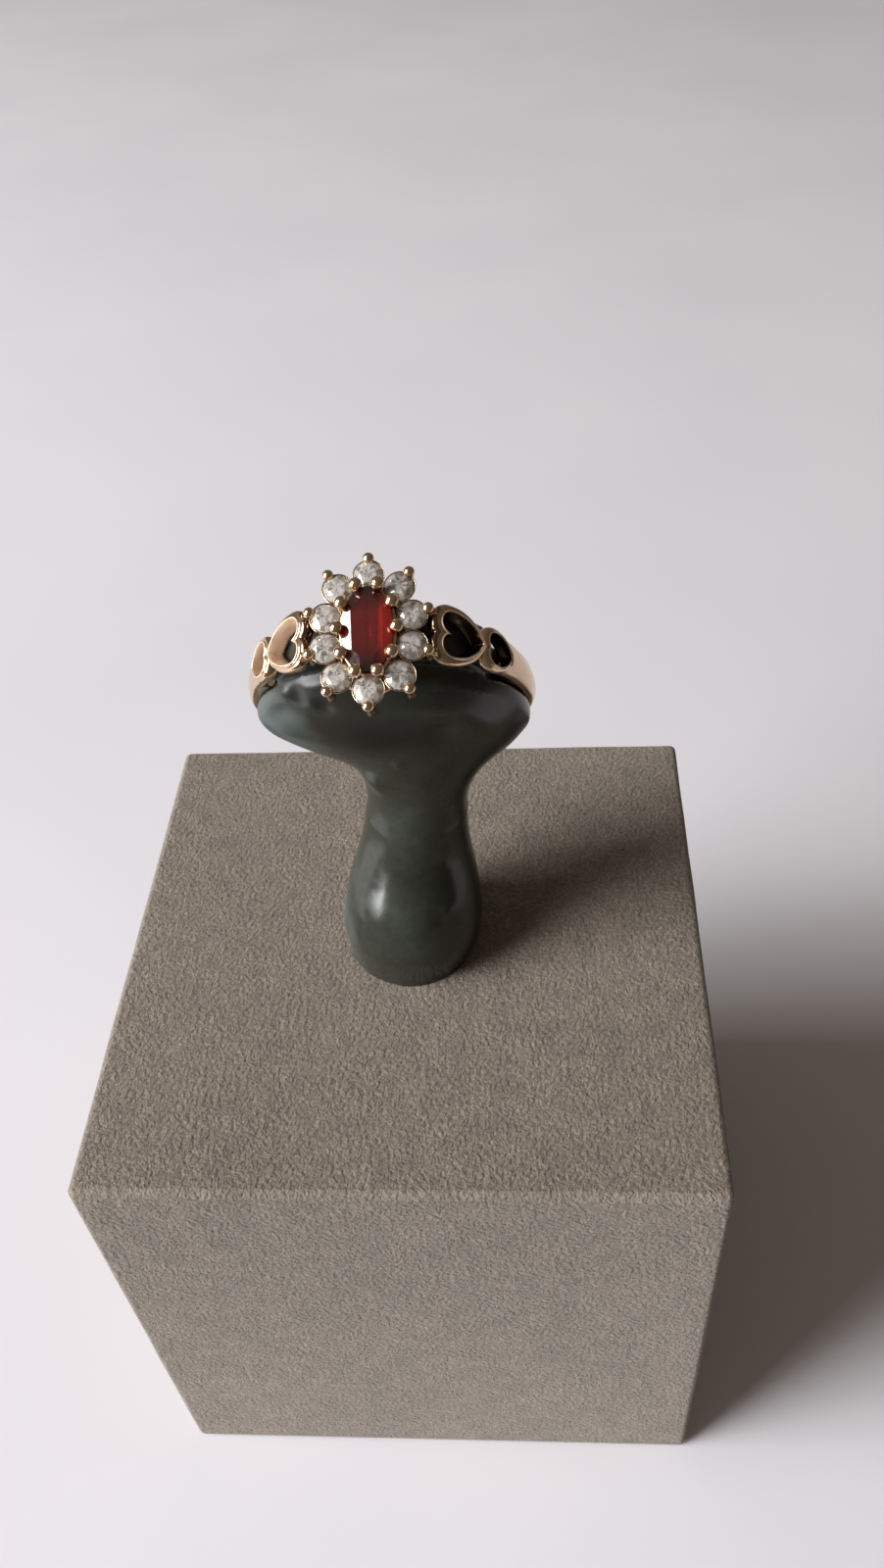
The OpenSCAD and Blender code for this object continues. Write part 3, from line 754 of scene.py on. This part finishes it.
# The ruby's red with painted light in it: brighter and darker stripes across it, brightest towards its
# right side, and painted shade towards both ends; the silk is the stone's own
painted_stripes = shades(tree, across_ruby(tree, ruby_axes["X"], ruby_half[0]), [
    (0.0, (0.1, 0.005, 0.012)), (0.3, (0.26, 0.008, 0.008)), (0.42, (0.34, 0.012, 0.01)),
    (0.5, (0.25, 0.007, 0.008)), (0.62, (0.33, 0.01, 0.01)), (0.7, (0.28, 0.007, 0.006)),
    (0.8, (0.95, 0.03, 0.017)), (1.0, (0.6, 0.016, 0.01))])
painted_end_shade = shades(tree, across_ruby(tree, ruby_axes["Y"], ruby_half[1]), [
    (0.04, (0.06, 0.05, 0.05)), (0.3, grey(0.8)), (0.62, grey(1)), (0.92, grey(0.16))])
silk = shades(tree, grain(tree, 0.6, 3.0), [(0.3, grey(0.42)), (0.7, grey(0.6))])
painted_inner_light = blended(tree, "OVERLAY", 0.7, blended(tree, "MULTIPLY", 1.0, painted_stripes, painted_end_shade), silk)
tree.links.new(painted_inner_light, shader.inputs["Base Color"])
tree.links.new(spread(tree, grain(tree, 0.3, 3.0), 0.12, 0.24), shader.inputs["Roughness"])

ruby_mesh = bmesh.new()
close_shell(ruby_mesh, [oval(*ruby_half, ruby_height + z, 72) for z in (ruby_bottom, ruby_table)])
cuts = []
for angle in ruby_facets:
    a = math.radians(angle)
    out = Vector((math.cos(a) / ruby_half[0], math.sin(a) / ruby_half[1], 0)).normalized()
    edge = Vector((ruby_half[0] * math.cos(a), ruby_half[1] * math.sin(a), ruby_height))
    slope = math.radians(end_slope if angle in (90, 270) else crown_slope)
    over = edge + Vector((0, 0, edge_height))
    cuts.append((over, out * math.sin(slope) + Vector((0, 0, math.cos(slope)))))
    for steep, depth, inset in ruby_steps:
        slope = math.radians(steep)
        under = edge - out * inset - Vector((0, 0, depth))
        cuts.append((under, out * math.sin(slope) - Vector((0, 0, math.cos(slope)))))
for at, normal in cuts:
    everything = ruby_mesh.verts[:] + ruby_mesh.edges[:] + ruby_mesh.faces[:]
    cut_line = bmesh.ops.bisect_plane(ruby_mesh, geom=everything, dist=0.0001, plane_co=at,
                                      plane_no=normal, clear_outer=True)
    rim = [part for part in cut_line["geom_cut"] if isinstance(part, bmesh.types.BMEdge)]
    if rim:
        bmesh.ops.contextual_create(ruby_mesh, geom=rim)
show("cut_ruby", to_metres(ruby_mesh), red, ["ruby"], smooth=False)

# The small stones: ten round brilliants of clear white stone, each laid in its cup and held by the
# bead outside it and by the inner claws beside it.
stone_count = len(stone_spots)
wedges_a_radian = 2.55
tiers_a_mm = 3.6
glint_size = 0.16

clear, tree, shader = new_finish("clear_stone", Roughness=0.03, IOR=2.1, Transmission_Weight=0.55)
corners = [Vector(corner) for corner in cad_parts["stone_01"].bound_box]
low, high = [Vector(pick(corner[k] for corner in corners) for k in range(3)) for pick in (min, max)]
middle = ring_place @ Vector((*stone_spots[0], stone_height)) * mm - low
# All ten stones lie alike, so the middle of one, measured from a corner of its box, serves for all
in_box = put(tree, "ShaderNodeMapping", {"Vector": put(tree, "ShaderNodeTexCoord").outputs["Generated"]})
in_box.inputs["Location"].default_value = -middle / mm
in_box.inputs["Scale"].default_value = (high - low) / mm
upright = put(tree, "ShaderNodeMapping", {"Vector": in_box.outputs["Vector"]}, vector_type="TEXTURE")
upright.inputs["Rotation"].default_value = ring_place.to_euler()
stone_axes = put(tree, "ShaderNodeSeparateXYZ", {"Vector": upright.outputs["Vector"]}).outputs
# The facets lie in wedges round the middle and in tiers outwards, and each is painted its own brightness:
# painted glints of the light it catches
turned_by = maths(tree, "ARCTAN2", stone_axes["Y"], stone_axes["X"])
on_table = put(tree, "ShaderNodeCombineXYZ", {"X": stone_axes["X"], "Y": stone_axes["Y"]})
outwards = put(tree, "ShaderNodeVectorMath", {0: on_table.outputs["Vector"]}, operation="LENGTH")
facet = put(tree, "ShaderNodeCombineXYZ", {
    "X": maths(tree, "FLOOR", maths(tree, "MULTIPLY", turned_by, wedges_a_radian)),
    "Y": maths(tree, "FLOOR", maths(tree, "MULTIPLY", outwards.outputs["Value"], tiers_a_mm)),
    "Z": put(tree, "ShaderNodeObjectInfo").outputs["Random"]})
light_of_facet = put(tree, "ShaderNodeTexWhiteNoise", {"Vector": facet.outputs["Vector"]}).outputs["Value"]
here = put(tree, "ShaderNodeTexCoord").outputs["Object"]
glints = put(tree, "ShaderNodeTexVoronoi", {"Vector": here, "Scale": 1000 / glint_size}).outputs["Color"]
glitter = shades(tree, blended(tree, "MIX", 0.35, light_of_facet, glints), [
    (0.15, (0.27, 0.235, 0.2)), (0.35, (0.57, 0.52, 0.47)), (0.62, (0.98, 0.935, 0.88))])
tree.links.new(glitter, shader.inputs["Base Color"])
tree.links.new(spread(tree, grain(tree, 0.2, 3.0), 0.02, 0.1), shader.inputs["Roughness"])
for k in range(1, stone_count + 1):
    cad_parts[f"stone_{k:02d}"].material_slots[0].material = clear

# The picture: a pale table whose front edge is close in front of the block, a low bright window and
# a higher one on the left, a dim room round them, and the camera looking down at the ring.
table_half = 1.2
table_front = -0.065
post_middle = Vector((0, 0, 0.065))
camera_place = Vector((9.74, -61.98, 123.9)) * mm
# Which way the camera's right, its underside and its lens point
camera_right = Vector((0.99718, 0.04186, -0.06231))
camera_down = Vector((-0.01524, -0.69995, -0.71403))
camera_ahead = Vector((-0.0735, 0.71297, -0.69734))

table_mesh = bmesh.new()
bmesh.ops.create_grid(table_mesh, x_segments=2, y_segments=2, size=table_half)
bmesh.ops.translate(table_mesh, vec=(0, table_front + table_half, 0), verts=table_mesh.verts)
data = bpy.data.meshes.new("table_top")
table_mesh.to_mesh(data)
table_mesh.free()
table_top = bpy.data.objects.new("table_top", data)
bpy.context.scene.collection.objects.link(table_top)
table_paint, tree, shader = new_finish("pale_table", Roughness=0.6)
tree.links.new(shades(tree, grain(tree, 60.0), [(0.3, (0.71, 0.69, 0.72)), (0.7, (0.75, 0.728, 0.755))]),
               shader.inputs["Base Color"])
data.materials.append(table_paint)


def soft_light(name, place, size, power, colour):
    """A square of soft light turned to the post, which the camera itself doesn't see."""
    lamp = bpy.data.lights.new(name, "AREA")
    lamp.shape = "RECTANGLE"
    lamp.size, lamp.size_y = size
    lamp.energy = power
    lamp.color = colour
    light = bpy.data.objects.new(name, lamp)
    light.location = place
    light.rotation_euler = (post_middle - Vector(place)).to_track_quat("-Z", "Y").to_euler()
    light.visible_camera = False
    bpy.context.scene.collection.objects.link(light)


soft_light("low_window", (-1.143, -0.557, 0.31), (0.64, 0.44), 18, (0.97, 0.98, 1.0))
soft_light("high_window", (-0.952, -0.291, 0.9), (0.68, 0.6), 19, (0.98, 0.98, 1.0))

world = bpy.data.worlds.new("room")
bpy.context.scene.world = world
world.use_nodes = True
tree = world.node_tree
looking = put(tree, "ShaderNodeTexCoord").outputs["Generated"]
to_left = put(tree, "ShaderNodeVectorMath", {0: looking}, operation="DOT_PRODUCT")
to_left.inputs[1].default_value = (-1, 0.1, 0.1)
side_light = put(tree, "ShaderNodeMapRange", {
    "Value": to_left.outputs["Value"], "From Min": -1.0, "From Max": 1.0, "To Min": 0.08, "To Max": 0.2})
backdrop = tree.nodes["Background"]
backdrop.inputs["Color"].default_value = (1.0, 0.85, 0.7, 1)
tree.links.new(side_light.outputs["Result"], backdrop.inputs["Strength"])

camera = bpy.data.objects.new("camera", bpy.data.cameras.new("camera"))
bpy.context.scene.collection.objects.link(camera)
camera.data.lens = 28.75
camera.data.clip_start = 0.005
camera_turn = Matrix((camera_right, -camera_down, -camera_ahead)).transposed().to_quaternion()
camera.matrix_world = Matrix.LocRotScale(camera_place, camera_turn, None)
bpy.context.scene.camera = camera
bpy.context.scene.view_settings.view_transform = "Standard"
